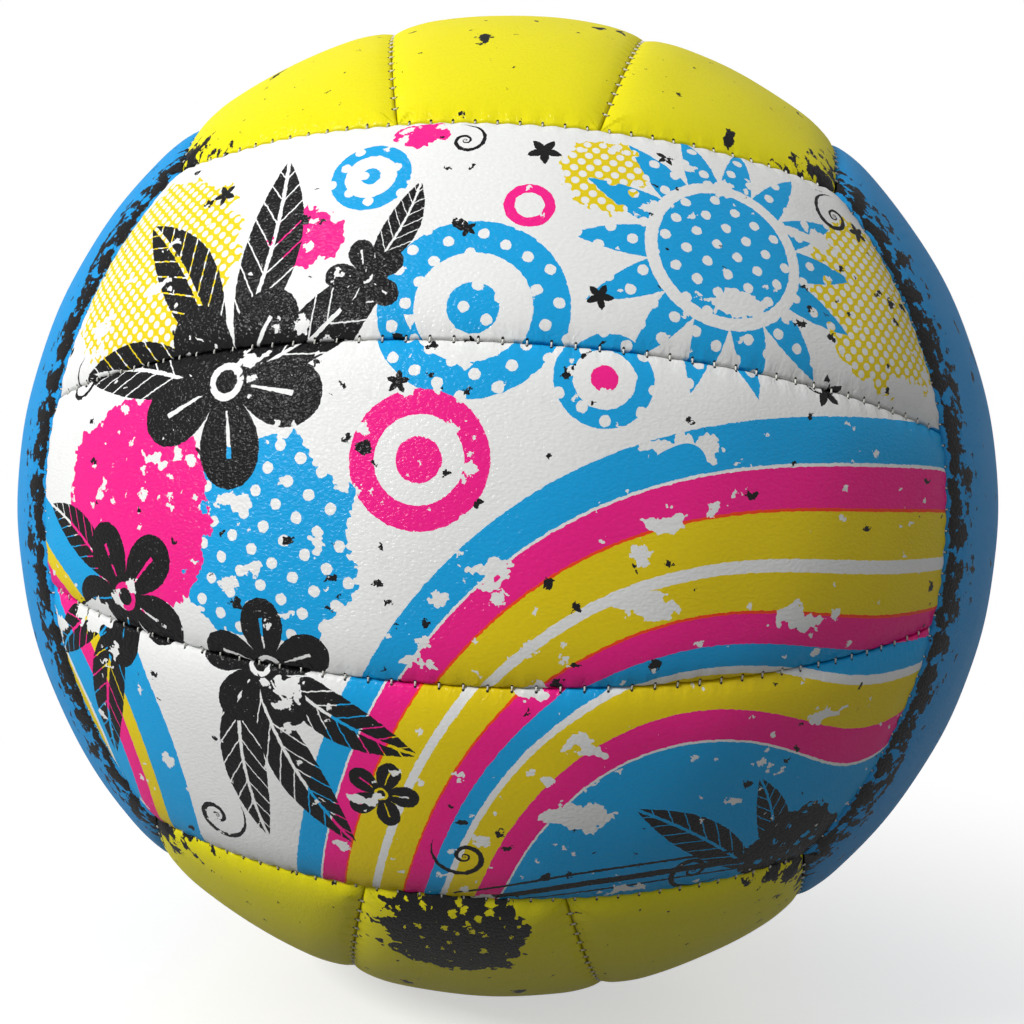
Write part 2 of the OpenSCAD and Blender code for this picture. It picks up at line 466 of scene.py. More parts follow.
def seam_stitches(normal, share, stitching, along):
    """Paths of the stitches and of the run along one seam, in the pattern's pose."""
    up = np.cross(normal, along)
    up = up * math.copysign(1, up[2])
    count, step = STITCHES[stitching]
    reach = math.sqrt(1 - share**2)

    def at(turn, across, depth):
        """A point beside the seam, at a turn along it."""
        seam = normal * share + reach * (math.cos(turn) * up + math.sin(turn) * along)
        out = seam * math.cos(across / ball_r)
        beside = np.cross(seam, math.cos(turn) * along - math.sin(turn) * up)
        return (out + beside * math.sin(across / ball_r)) * (ball_r - depth)

    turns = [(i + 0.5 - count / 2) * step for i in range(count)]
    stitches = [np.array([at(turn, *place) for place in STITCH_PATH]) for turn in turns]
    run_turns = np.linspace(turns[0], turns[-1], run_steps * count)
    run = np.array([at(turn, 0, run_level) for turn in run_turns])
    return stitches, run


def sew(face):
    """All the thread of one face as one piece."""
    points, faces = [], []
    for row in (-1, 1):
        for seam in seams_of(row)[:2]:
            stitches, run = seam_stitches(*seam)
            tubes = [swept_tube(path, thread_r, thread_sides) for path in stitches]
            tubes.append(swept_tube(run, run_r, run_sides))
            for tube, quads, caps in tubes:
                start = sum(len(part) for part in points)
                points.append(tube)
                faces += [[v + start for v in polygon] for polygon in quads + caps]
    points = np.concatenate(points)
    mesh = bpy.data.meshes.new(f"thread_{face}")
    mesh.from_pydata(placed(points, face).tolist(), [], faces)
    mesh.shade_smooth()
    piece = bpy.data.objects.new(f"thread_{face}", mesh)
    bpy.context.scene.collection.objects.link(piece)
    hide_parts(f"stitching_{face}")
    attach(piece, "root")
    return piece


threads = {face: sew(face) for face in FACES}
print("thread faces", sum(len(piece.data.polygons) for piece in threads.values()))

# %% [markdown]
# ## Building materials
# One function turns the hex colours of paint charts into the linear light that shaders need. One
# more adds a node with its settings and its inputs. An input is either a number or another node's
# output, so a whole material reads from top to bottom.

# %% Colour and node helpers


def paint(hex_code):
    """An sRGB hex colour as linear RGBA."""
    channels = [int(hex_code[i:i + 2], 16) / 255 for i in (1, 3, 5)]
    return [c / 12.92 if c <= 0.04045 else ((c + 0.055) / 1.055) ** 2.4 for c in channels] + [1.0]


def add(tree, kind, settings=None, inputs=None):
    """Adds a node, sets its properties, and fills or links its inputs."""
    node = tree.nodes.new(kind)
    for name, value in (settings or {}).items():
        setattr(node, name, value)
    for name, value in (inputs or {}).items():
        if isinstance(value, bpy.types.Node):
            value = value.outputs[0]
        if isinstance(value, bpy.types.NodeSocket):
            tree.links.new(value, node.inputs[name])
        else:
            node.inputs[name].default_value = value
    return node


def new_material(name):
    """An empty material and its node tree."""
    material = bpy.data.materials.new(name)
    material.use_nodes = True
    material.node_tree.nodes.clear()
    return material, material.node_tree


print("white in linear light", [round(c, 3) for c in paint("#F4F4F2")])

# %% [markdown]
# ## Synthetic leather
# The cover is polyurethane leather: cloth with a foamed skin, embossed in the mould with a fine
# wrinkled grain, printed, and sealed with clear lacquer. The eye sees deep flat colour, and on it small
# sparkles where the lacquer's wrinkles catch the lamp. One glossy layer can't give both, because its
# wide reflections turn black ink grey. So the pigment has no gloss of its own, and a thin coat with a
# stronger bump carries the sheen. Near the seams the skin is stretched, so its grain is weaker there.

# %% Grain
# Real pores are about 0.25 mm wide. They are drawn coarser, so that they still show in a picture.
pore_width = 0.42
pore_share = 2.2
grain_width = 0.62
grain_stretch = 1.5
pebble_edge = (0.1, 0.8)


def grain(tree, place, drift):
    """Embossed pebbles between wrinkles that run along the strip, and the same with their pores."""
    bent = add(tree, "ShaderNodeVectorMath", {"operation": "MULTIPLY_ADD"}, {
        0: drift.outputs["Color"], 1: (grain_width, grain_width, 0), 2: place})
    drawn = add(tree, "ShaderNodeVectorMath", {"operation": "MULTIPLY"}, {
        0: bent, 1: (1 / (grain_width * grain_stretch), 1 / grain_width, 0)})
    wrinkle = add(tree, "ShaderNodeTexVoronoi", {"voronoi_dimensions": "2D"}, {
        "Vector": drawn, "Scale": 1.0})
    pebble = add(tree, "ShaderNodeMapRange", {"interpolation_type": "SMOOTHSTEP"}, {
        "Value": wrinkle.outputs["Distance"], "From Min": pebble_edge[0], "From Max": pebble_edge[1],
        "To Min": 1, "To Max": 0})
    pulled = add(tree, "ShaderNodeVectorMath", {"operation": "MULTIPLY"}, {
        0: place, 1: (1 / (pore_width * grain_stretch), 1 / pore_width, 0)})
    pore = add(tree, "ShaderNodeTexNoise", {"noise_dimensions": "2D"}, {
        "Vector": pulled, "Scale": 1.0, "Detail": 1.0})
    pored = add(tree, "ShaderNodeMath", {"operation": "MULTIPLY_ADD"}, {
        0: pore.outputs["Fac"], 1: pore_share, 2: pebble})
    return pebble, pored


print("wrinkles", grain_width, "mm apart, pores", pore_width, "mm wide")

# %% [markdown]
# Beside each stitch the leather shows what the needle and the thread did to it: two holes, and fine
# tucks that run across the seam. Both are too small and too many for the mesh. The holes are painted
# shade: dark spots in the colour where the inside of each hole lies in shadow. The points know where
# they lie along the stitches, so the material can draw them in the right places.

# %% Needle holes and gathers
hole_at = 0.45
hole_size = (0.25, 0.28)
hole_edge = (0.75, 1.15)
gathers_in_stitch = 2.6
gather_reach = 4.5
gather_share = 0.8
gather_sway = 9.0
rolled_edge = 0.5


def needle_hole_shade(tree, sewn, seam):
    """A mask of painted shade: dark spots for the needle holes on both sides of each stitch."""
    part = add(tree, "ShaderNodeMath", {"operation": "FRACT"}, {0: sewn})
    along = add(tree, "ShaderNodeMath", {"operation": "SUBTRACT"}, {0: part, 1: 0.5})
    steps = add(tree, "ShaderNodeMath", {"operation": "MULTIPLY"}, {
        0: along, 1: stitch_pitch / hole_size[0]})
    across = add(tree, "ShaderNodeMath", {"operation": "SUBTRACT"}, {0: seam, 1: hole_at})
    beside = add(tree, "ShaderNodeMath", {"operation": "DIVIDE"}, {0: across, 1: hole_size[1]})
    place = add(tree, "ShaderNodeCombineXYZ", {}, {0: steps, 1: beside})
    away = add(tree, "ShaderNodeVectorMath", {"operation": "LENGTH"}, {0: place})
    return add(tree, "ShaderNodeMapRange", {"interpolation_type": "SMOOTHSTEP"}, {
        "Value": away.outputs["Value"], "From Min": hole_edge[0], "From Max": hole_edge[1],
        "To Min": 1, "To Max": 0})


def gathers(tree, sewn, seam, drift):
    """Fine tucks that run across the seams and fade away from them."""
    turned = add(tree, "ShaderNodeMath", {"operation": "MULTIPLY"}, {
        0: sewn, 1: 2 * math.pi * gathers_in_stitch})
    swayed = add(tree, "ShaderNodeMath", {"operation": "MULTIPLY_ADD"}, {
        0: drift.outputs["Fac"], 1: gather_sway, 2: turned})
    tucks = add(tree, "ShaderNodeMath", {"operation": "SINE"}, {0: swayed})
    share = add(tree, "ShaderNodeMapRange", {"interpolation_type": "SMOOTHSTEP"}, {
        "Value": seam, "From Min": rolled_edge, "From Max": gather_reach,
        "To Min": gather_share, "To Max": 0})
    return add(tree, "ShaderNodeMath", {"operation": "MULTIPLY"}, {0: tucks, 1: share})


print("needle holes", 2 * hole_size[0], "mm long,", gathers_in_stitch, "tucks in a stitch")

# %% [markdown]
# The finish joins all this. Hands rub the ball, so its roughness drifts a little from place to place.
# The rolled edges are pulled smooth and shine more. No light reaches the bottom of the seam, so the
# colour there is darkened: painted shade.

# %% Pigment and lacquer
pigment_roughness = 0.55
pigment_grain_depth = 0.014
lacquer_grain_depth = 0.09
lacquer_ior = 1.8
lacquer_share = 0.15
lacquer_roughness = 0.2
smooth_rim = 6.0
rim_grain_share = 0.3
rim_polish = 0.08
wear_size = 20.0
wear_roughness = 0.05
# Painted shade at the bottom of the seam: where it starts and ends, and how dark it gets.
crease_edge = (0.1, 0.6)
crease_shade = 0.85
# Painted shade: how dark the wrinkles' valleys are painted.
wrinkle_shade = 0.97
# Painted shade: the near-black that stands for the shadow inside each needle hole.
NEEDLE_HOLE_SHADE = "#0E0D0D"


def leather(tree, colour, place):
    """Finishes a material: grain, tucks, needle holes and lacquer over a printed colour."""
    seam = add(tree, "ShaderNodeAttribute", {"attribute_name": "seam_mm"}).outputs["Fac"]
    sewn = add(tree, "ShaderNodeAttribute", {"attribute_name": "stitch_at"}).outputs["Fac"]
    drift = add(tree, "ShaderNodeTexNoise", {"noise_dimensions": "2D"}, {
        "Vector": place, "Scale": 0.5 / grain_width, "Detail": 1.0})
    pebble, pored = grain(tree, place, drift)
    slack = add(tree, "ShaderNodeMapRange", {"interpolation_type": "SMOOTHSTEP"}, {
        "Value": seam, "From Min": rolled_edge, "From Max": smooth_rim, "To Min": rim_grain_share})
    relief = add(tree, "ShaderNodeMath", {"operation": "MULTIPLY"}, {0: pored, 1: slack})
    height = add(tree, "ShaderNodeMath", {"operation": "ADD"}, {
        0: relief, 1: gathers(tree, sewn, seam, drift)})
    pigment_bump, lacquer_bump = [
        add(tree, "ShaderNodeBump", {}, {"Height": height, "Strength": 1.0, "Distance": depth * MM})
        for depth in (pigment_grain_depth, lacquer_grain_depth)]

    worn = add(tree, "ShaderNodeTexNoise", {"noise_dimensions": "2D"}, {
        "Vector": place, "Scale": 1 / wear_size, "Detail": 3.0})
    rubbed = add(tree, "ShaderNodeMapRange", {}, {
        "Value": worn.outputs["Fac"], "From Min": 0.3, "From Max": 0.7,
        "To Min": pigment_roughness - wear_roughness, "To Max": pigment_roughness + wear_roughness})
    polish = add(tree, "ShaderNodeMapRange", {"interpolation_type": "SMOOTHSTEP"}, {
        "Value": seam, "From Min": rolled_edge, "From Max": smooth_rim,
        "To Min": -rim_polish, "To Max": 0})
    roughness = add(tree, "ShaderNodeMath", {"operation": "ADD"}, {0: rubbed, 1: polish})

    # Painted shade: the colour is darkened at the bottom of the seam, where little light reaches.
    painted_seam_shade = add(tree, "ShaderNodeMapRange", {"interpolation_type": "SMOOTHSTEP"}, {
        "Value": seam, "From Min": crease_edge[0], "From Max": crease_edge[1], "To Min": crease_shade})
    # Painted shade: the colour is a little darker in the wrinkles' valleys, between the pebbles.
    grain_painted_shade = add(tree, "ShaderNodeMapRange", {}, {"Value": pebble, "To Min": wrinkle_shade})
    shade = add(tree, "ShaderNodeMath", {"operation": "MULTIPLY"}, {0: painted_seam_shade, 1: grain_painted_shade})
    shaded = add(tree, "ShaderNodeVectorMath", {"operation": "SCALE"}, {0: colour, "Scale": shade})
    # Painted shade: the needle holes are dark spots in the colour, for the shadow inside them.
    hole_shaded = add(tree, "ShaderNodeMix", {"data_type": "RGBA"}, {
        "Factor": needle_hole_shade(tree, sewn, seam), 6: shaded, 7: paint(NEEDLE_HOLE_SHADE)})
    skin = add(tree, "ShaderNodeBsdfPrincipled", {}, {
        "Base Color": hole_shaded.outputs[2], "Roughness": roughness, "IOR": lacquer_ior,
        "Specular IOR Level": 0.0, "Normal": pigment_bump, "Coat Weight": lacquer_share,
        "Coat Roughness": lacquer_roughness, "Coat IOR": lacquer_ior, "Coat Normal": lacquer_bump})
    add(tree, "ShaderNodeOutputMaterial", {}, {"Surface": skin})


print("pigment roughness", pigment_roughness, "under lacquer of roughness", lacquer_roughness)

# %% [markdown]
# ## Print shapes
# The ink lies on a flat map of each face, in millimetres, so a shape is a few sums on two numbers.
# Each function below returns a mask: 1 where its ink lies and 0 elsewhere. Edges are made ragged
# by moving the map a little with noise first, as screen-printed ink creeps on leather. A painted
# picture could carry the print too, but it would blur up close, and it couldn't be changed here.

# %% Discs, rings and dots


def ragged(tree, place, amount, size):
    """The print's map with every point moved by up to the amount, in waves of a size."""
    noise = add(tree, "ShaderNodeTexNoise", {"noise_dimensions": "2D"}, {
        "Vector": place, "Scale": 1 / size, "Detail": 3.0, "Roughness": 0.65})
    centred = add(tree, "ShaderNodeVectorMath", {"operation": "SUBTRACT"}, {
        0: noise.outputs["Color"], 1: (0.5, 0.5, 0.5)})
    return add(tree, "ShaderNodeVectorMath", {"operation": "MULTIPLY_ADD"}, {
        0: centred, 1: (2 * amount, 2 * amount, 0), 2: place})


def disc(tree, place, x, y, radius):
    """All points nearer to a spot than the radius."""
    away = add(tree, "ShaderNodeVectorMath", {"operation": "DISTANCE"}, {0: place, 1: (x, y, 0)})
    return add(tree, "ShaderNodeMath", {"operation": "LESS_THAN"}, {
        0: away.outputs["Value"], 1: radius})


def ring(tree, place, x, y, radius, width):
    """A line of the given width round a spot."""
    away = add(tree, "ShaderNodeVectorMath", {"operation": "DISTANCE"}, {0: place, 1: (x, y, 0)})
    return add(tree, "ShaderNodeMath", {"operation": "COMPARE"}, {
        0: away.outputs["Value"], 1: radius, 2: width / 2})


def dots(tree, place, pitch, radius, turn):
    """A screen of round dots."""
    screen = add(tree, "ShaderNodeMapping", {}, {
        "Vector": place, "Rotation": (0, 0, turn), "Scale": (1 / pitch, 1 / pitch, 1)})
    cell = add(tree, "ShaderNodeVectorMath", {"operation": "FRACTION"}, {0: screen})
    away = add(tree, "ShaderNodeVectorMath", {"operation": "DISTANCE"}, {0: cell, 1: (0.5, 0.5, 0)})
    return add(tree, "ShaderNodeMath", {"operation": "LESS_THAN"}, {
        0: away.outputs["Value"], 1: radius / pitch})


print("round shapes ready")

# %% [markdown]
# Screen printing lays one ink over the next. Masks are cut and joined like paper stencils, and each
# ink is then laid over the colours below it.

# %% Layers


def without(tree, mask, *holes):
    """A mask with all the others cut out of it."""
    for hole in holes:
        mask = add(tree, "ShaderNodeMath", {"operation": "SUBTRACT", "use_clamp": True}, {
            0: mask, 1: hole})
    return mask


def joined(tree, *masks):
    """One mask that covers all of several."""
    whole = masks[0]
    for mask in masks[1:]:
        whole = add(tree, "ShaderNodeMath", {"operation": "MAXIMUM"}, {0: whole, 1: mask})
    return whole


def inked(tree, under, mask, over):
    """Ink over what was printed before. Each of the two is a hex colour or a coloured pattern."""
    under, over = [paint(ink) if isinstance(ink, str) else ink for ink in (under, over)]
    mixed = add(tree, "ShaderNodeMix", {"data_type": "RGBA"}, {"Factor": mask, 6: under, 7: over})
    return mixed.outputs[2]


print("layers ready")

# %% [markdown]
# A flower is drawn round a spot: for each angle there is a reach, and the ink ends there. A star
# works the same way, and a curl is a spiral whose turn is the logarithm of the distance. A leaf lies
# along its own bent axis, and its width is the product of the distances to its two tips. Each shape
# is one function, so that a table can set many of them.

# %% Flowers and leaves


def polar(tree, place, x, y):
    """Distance and angle from a spot of the print."""
    local = add(tree, "ShaderNodeVectorMath", {"operation": "SUBTRACT"}, {0: place, 1: (x, y, 0)})
    parts = add(tree, "ShaderNodeSeparateXYZ", {}, {0: local})
    away = add(tree, "ShaderNodeVectorMath", {"operation": "LENGTH"}, {0: local})
    angle = add(tree, "ShaderNodeMath", {"operation": "ARCTAN2"}, {
        0: parts.outputs[1], 1: parts.outputs[0]})
    return away.outputs["Value"], angle


def flower(tree, place, x, y, size, turn):
    """Five round petals with a slit in each and a bare ring round the eye."""
    petals = 5
    notch_share = 0.28
    petal_fullness = 0.55
    slit_fineness = 0.996
    away, angle = polar(tree, place, x, y)
    swing = add(tree, "ShaderNodeMath", {"operation": "MULTIPLY_ADD"}, {
        0: angle, 1: petals / 2, 2: turn})
    wave = add(tree, "ShaderNodeMath", {"operation": "COSINE"}, {0: swing})
    lobe = add(tree, "ShaderNodeMath", {"operation": "ABSOLUTE"}, {0: wave})
    full = add(tree, "ShaderNodeMath", {"operation": "POWER"}, {0: lobe, 1: petal_fullness})
    reach = add(tree, "ShaderNodeMath", {"operation": "MULTIPLY_ADD"}, {
        0: full, 1: (1 - notch_share) * size, 2: notch_share * size})
    bloom = add(tree, "ShaderNodeMath", {"operation": "LESS_THAN"}, {0: away, 1: reach})
    ray = add(tree, "ShaderNodeMath", {"operation": "GREATER_THAN"}, {0: lobe, 1: slit_fineness})
    belt = add(tree, "ShaderNodeMath", {"operation": "COMPARE"}, {
        0: away, 1: 0.5 * size, 2: 0.22 * size})
    slits = add(tree, "ShaderNodeMath", {"operation": "MULTIPLY"}, {0: ray, 1: belt})
    eye = ring(tree, place, x, y, 0.15 * size, 0.07 * size)
    return without(tree, bloom, slits, eye)


def leaf(tree, place, x, y, turn, length, width):
    """A pointed leaf from its stalk, with a bare midrib and side veins."""
    bend = 0.9
    rib_share = 0.035
    vein_slant = 0.35
    veins = 8.0
    vein_share = 0.09
    local = add(tree, "ShaderNodeMapping", {"vector_type": "TEXTURE"}, {
        "Vector": place, "Location": (x, y, 0), "Rotation": (0, 0, turn), "Scale": (length, width, 1)})
    parts = add(tree, "ShaderNodeSeparateXYZ", {}, {0: local})
    along = parts.outputs[0]
    bow = add(tree, "ShaderNodeMath", {"operation": "MULTIPLY_ADD"}, {
        0: along, 1: bend, 2: parts.outputs[1]})
    curve = add(tree, "ShaderNodeMath", {"operation": "MULTIPLY"}, {0: along, 1: along})
    middle = add(tree, "ShaderNodeMath", {"operation": "MULTIPLY_ADD"}, {0: curve, 1: -bend, 2: bow})
    across = add(tree, "ShaderNodeMath", {"operation": "ABSOLUTE"}, {0: middle})
    rest = add(tree, "ShaderNodeMath", {"operation": "SUBTRACT"}, {0: 1.0, 1: along})
    belly = add(tree, "ShaderNodeMath", {"operation": "MULTIPLY"}, {0: along, 1: rest})
    edge = add(tree, "ShaderNodeMath", {"operation": "MULTIPLY"}, {0: belly, 1: 2.0})
    blade = add(tree, "ShaderNodeMath", {"operation": "LESS_THAN"}, {0: across, 1: edge})
    rib = add(tree, "ShaderNodeMath", {"operation": "LESS_THAN"}, {0: across, 1: rib_share})
    slant = add(tree, "ShaderNodeMath", {"operation": "MULTIPLY_ADD"}, {
        0: across, 1: -vein_slant, 2: along})
    steps = add(tree, "ShaderNodeMath", {"operation": "MULTIPLY"}, {0: slant, 1: veins})
    part = add(tree, "ShaderNodeMath", {"operation": "FRACT"}, {0: steps})
    vein = add(tree, "ShaderNodeMath", {"operation": "LESS_THAN"}, {0: part, 1: vein_share})
    return without(tree, blade, rib, vein)


print("flowers and leaves ready")

# %% Stars and curls


def star(tree, place, x, y, size, turn):
    """Five straight rays."""
    rays = 5
    notch_share = 0.4
    away, angle = polar(tree, place, x, y)
    fifths = add(tree, "ShaderNodeMath", {"operation": "MULTIPLY_ADD"}, {
        0: angle, 1: rays / (2 * math.pi), 2: turn})
    fold = add(tree, "ShaderNodeMath", {"operation": "PINGPONG"}, {0: fifths, 1: 0.5})
    reach = add(tree, "ShaderNodeMath", {"operation": "MULTIPLY_ADD"}, {
        0: fold, 1: -2 * (1 - notch_share) * size, 2: size})
    return add(tree, "ShaderNodeMath", {"operation": "LESS_THAN"}, {0: away, 1: reach})


def curl(tree, place, x, y, size, turn, hand):
    """A scroll that opens as it turns, thin inside and tapered at its outer end."""
    growth = 0.22
    taper_start = 0.12
    fullest = 0.2
    away, angle = polar(tree, place, x, y)
    scaled = add(tree, "ShaderNodeMath", {"operation": "DIVIDE"}, {0: away, 1: size})
    power = add(tree, "ShaderNodeMath", {"operation": "LOGARITHM"}, {0: scaled, 1: math.e})
    turns = add(tree, "ShaderNodeMath", {"operation": "MULTIPLY"}, {
        0: power, 1: 1 / (2 * math.pi * growth)})
    wound = add(tree, "ShaderNodeMath", {"operation": "MULTIPLY_ADD"}, {
        0: angle, 1: hand / (2 * math.pi), 2: turns})
    phase = add(tree, "ShaderNodeMath", {"operation": "ADD"}, {0: wound, 1: turn})
    part = add(tree, "ShaderNodeMath", {"operation": "WRAP"}, {0: phase, 1: 1.0, 2: 0.0})
    fullness = add(tree, "ShaderNodeMapRange", {}, {
        "Value": scaled, "From Min": taper_start, "From Max": 1, "To Min": fullest, "To Max": 0})
    offset = add(tree, "ShaderNodeMath", {"operation": "SUBTRACT"}, {0: part, 1: 0.5})
    beside = add(tree, "ShaderNodeMath", {"operation": "ABSOLUTE"}, {0: offset})
    return add(tree, "ShaderNodeMath", {"operation": "LESS_THAN"}, {0: beside, 1: fullness})


print("stars and curls ready")

# %% [markdown]
# Splashes look thrown: many small drops, few large ones, all drawn out in one direction and gathered
# in some areas. A Voronoi pattern has one drop in each cell, and the cell's colour is its size.

# %% Splashes and patches
largest_drop = 0.33


def splashes(tree, place, pitch, fill, turn, stretch, seed):
    """Drops of many sizes: each cell of a Voronoi pattern holds one, and its colour sets its size."""
    thrown = add(tree, "ShaderNodeMapping", {}, {
        "Vector": ragged(tree, place, 0.5 * pitch, 0.6 * pitch), "Rotation": (0, 0, turn),
        "Location": (seed, -seed, 0), "Scale": (1 / pitch / stretch, 1 / pitch, 1)})
    cells = add(tree, "ShaderNodeTexVoronoi", {"voronoi_dimensions": "2D"}, {
        "Vector": thrown, "Scale": 1.0})
    parts = add(tree, "ShaderNodeSeparateXYZ", {}, {0: cells.outputs["Color"]})
    size = add(tree, "ShaderNodeMapRange", {}, {
        "Value": parts.outputs[0], "From Min": 1 - fill, "From Max": 1,
        "To Min": 0, "To Max": largest_drop})
    return add(tree, "ShaderNodeMath", {"operation": "LESS_THAN"}, {
        0: cells.outputs["Distance"], 1: size})


def patchy(tree, place, mask, size, share):
    """A mask that is kept only in some areas of the print."""
    noise = add(tree, "ShaderNodeTexNoise", {"noise_dimensions": "2D"}, {
        "Vector": place, "Scale": 1 / size})
    area = add(tree, "ShaderNodeMath", {"operation": "GREATER_THAN"}, {
        0: noise.outputs["Fac"], 1: 1 - share})
    return add(tree, "ShaderNodeMath", {"operation": "MULTIPLY"}, {0: mask, 1: area})


print("splashes ready")

# %% [markdown]
# ## The print of the front and back
# Broad bands sweep round from the lower left to the right edge in cyan, pink and yellow. Over the
# white above them lie a sun, bubbles and halftone, and at the left a bunch of black flowers
# and leaves. White splashes come last, as if flicked from a brush. Layers are printed in that order.
# A colour ramp with hard stops turns the distance from a far centre into a band's ink.

# %% Inks
WHITE_INK = "#F1F2F0"
CYAN_INK = "#14A6E6"
PINK_INK = "#FB1F8E"
YELLOW_INK = "#EDD312"
ORANGE_FRINGE = "#FF4A1C"
BLACK_INK = "#121113"
SPLASH_INK = "#EEEFED"
widest_reach = 160.0


def stripes(tree, distance, table):
    """A colour for each distance, with hard edges."""
    factor = add(tree, "ShaderNodeMath", {"operation": "DIVIDE"}, {0: distance, 1: widest_reach})
    ramp = add(tree, "ShaderNodeValToRGB", {}, {"Fac": factor})
    stops = ramp.color_ramp
    stops.interpolation = "CONSTANT"
    stops.elements.remove(stops.elements[1])
    for start, colour in table[1:]:
        stops.elements.new(start / widest_reach).color = paint(colour)
    stops.elements[0].color = paint(table[0][1])
    return ramp.outputs["Color"]


printed, tree = new_material("satin_printed_polyurethane_leather")
place = add(tree, "ShaderNodeAttribute", {"attribute_name": "print_mm"}).outputs["Vector"]
crept = ragged(tree, place, 0.24, 1.2)
torn = ragged(tree, place, 5.0, 7.0)
print("seven inks")

# %% [markdown]
# The palest ink goes first: yellow halftone, a screen of bare dots in clouds with torn edges. Then
# come the sun and the bubbles in cyan, with larger dots left bare, and pink with small bare drops.

# %% Halftone, sun and bubbles
# A disc is x, y and radius, and a ring is x, y, radius and width. Clouds have torn edges.
HALFTONE_CLOUDS = [(-66, 44, 21), (76, 44, 19), (18, 60, 8)]
CYAN_RINGS = [(-2, 33, 12.5, 6.0), (20, 22, 6.5, 3.0), (-22, 58, 6.0, 2.6)]
CYAN_DISCS = [(-2, 33, 4.2), (-22, 58, 1.8)]
CYAN_CLOUDS = [(-34, -6, 17)]
PINK_RINGS = [(-8, 8, 9.0, 4.0), (6, 52, 3.4, 1.8)]
PINK_DISCS = [(-8, 8, 3.6), (20, 22, 2.2)]
PINK_CLOUDS = [(-62, -2, 19), (-32, 46, 6), (-14, 68, 4)]
sun_at = (40, 47)
sun_rays = 14
sun_reach = 27.0
ray_depth = 26.0
sun_ring = (13.5, 2.2)


def round_spots(tree, crept, torn, rings, discs, clouds):
    """All rings, discs and clouds of one ink."""
    masks = [ring(tree, crept, *spot) for spot in rings]
    masks += [disc(tree, crept, *spot) for spot in discs]
    masks += [disc(tree, torn, *spot) for spot in clouds]
    return joined(tree, *masks)


halftone = without(tree, round_spots(tree, crept, torn, [], [], HALFTONE_CLOUDS),
                   dots(tree, place, 2.0, 0.72, 0.7))
colour = inked(tree, WHITE_INK, halftone, YELLOW_INK)

sun_away, sun_angle = polar(tree, crept, *sun_at)
rays = add(tree, "ShaderNodeMath", {"operation": "MULTIPLY"}, {0: sun_angle, 1: sun_rays / (2 * math.pi)})
ray_fold = add(tree, "ShaderNodeMath", {"operation": "PINGPONG"}, {0: rays, 1: 0.5})
ray_reach = add(tree, "ShaderNodeMath", {"operation": "MULTIPLY_ADD"}, {
    0: ray_fold, 1: -ray_depth, 2: sun_reach})
sun = add(tree, "ShaderNodeMath", {"operation": "LESS_THAN"}, {0: sun_away, 1: ray_reach})
sun = without(tree, sun, ring(tree, crept, *sun_at, *sun_ring))
bubbles = round_spots(tree, crept, torn, CYAN_RINGS, CYAN_DISCS, CYAN_CLOUDS)
cyan = without(tree, joined(tree, sun, bubbles), dots(tree, crept, 4.2, 0.95, 0.5))
colour = inked(tree, colour, cyan, CYAN_INK)

blush = round_spots(tree, crept, torn, PINK_RINGS, PINK_DISCS, PINK_CLOUDS)
blush = without(tree, blush, splashes(tree, place, 3.4, 0.5, 0.0, 1.0, 3.0))
colour = inked(tree, colour, blush, PINK_INK)
print("nodes after the pale layers", len(tree.nodes))

# %% [markdown]
# The bands are rings round a point below the face, at its right, and the swirl is rings round a
# point beyond its left edge. Each table gives the distance at which an ink starts. The last entry
# ends the rings.

# %% Bands and swirl
band_centre = (70.0, -95.0)
BANDS = [
    (0.0, CYAN_INK), (54.0, WHITE_INK), (54.6, PINK_INK), (62.0, ORANGE_FRINGE), (62.5, YELLOW_INK),
    (71.0, WHITE_INK), (72.6, CYAN_INK), (78.0, PINK_INK), (84.0, ORANGE_FRINGE), (84.5, YELLOW_INK),
    (92.0, WHITE_INK), (95.0, YELLOW_INK), (103.5, ORANGE_FRINGE), (104.0, PINK_INK),
    (111.5, WHITE_INK), (112.1, CYAN_INK), (121.0, WHITE_INK),
]
# The bands crowd together as they turn to the lower left, and they sway to both sides.
band_middle = 88.0
crowding_turn = (1.3, 2.9)
crowding = (0.95, 1.75)
sway_waves = 4.6
sway_start = 0.7
sway_reach = 5.5
swirl_centre = (-112.0, -58.0)
SWIRL = [
    (0.0, PINK_INK), (30.0, ORANGE_FRINGE), (30.4, YELLOW_INK), (35.0, WHITE_INK), (36.0, CYAN_INK),
    (43.0, PINK_INK), (47.0, ORANGE_FRINGE), (47.4, YELLOW_INK), (51.0, CYAN_INK), (60.0, WHITE_INK),
]

band_away, band_angle = polar(tree, crept, *band_centre)
crowded = add(tree, "ShaderNodeMapRange", {"interpolation_type": "SMOOTHSTEP"}, {
    "Value": band_angle, "From Min": crowding_turn[0], "From Max": crowding_turn[1],
    "To Min": crowding[0], "To Max": crowding[1]})
beyond = add(tree, "ShaderNodeMath", {"operation": "SUBTRACT"}, {0: band_away, 1: band_middle})
squeezed = add(tree, "ShaderNodeMath", {"operation": "MULTIPLY"}, {0: beyond, 1: crowded})
swing = add(tree, "ShaderNodeMath", {"operation": "MULTIPLY_ADD"}, {
    0: band_angle, 1: sway_waves, 2: sway_start})
sway = add(tree, "ShaderNodeMath", {"operation": "SINE"}, {0: swing})
swayed = add(tree, "ShaderNodeMath", {"operation": "MULTIPLY_ADD"}, {0: sway, 1: sway_reach, 2: squeezed})
band_at = add(tree, "ShaderNodeMath", {"operation": "ADD"}, {0: swayed, 1: band_middle})
swirl_away = polar(tree, crept, *swirl_centre)[0]
for distance, table in ((band_at, BANDS), (swirl_away, SWIRL)):
    within = add(tree, "ShaderNodeMath", {"operation": "LESS_THAN"}, {0: distance, 1: table[-1][0]})
    colour = inked(tree, colour, within, stripes(tree, distance, table))
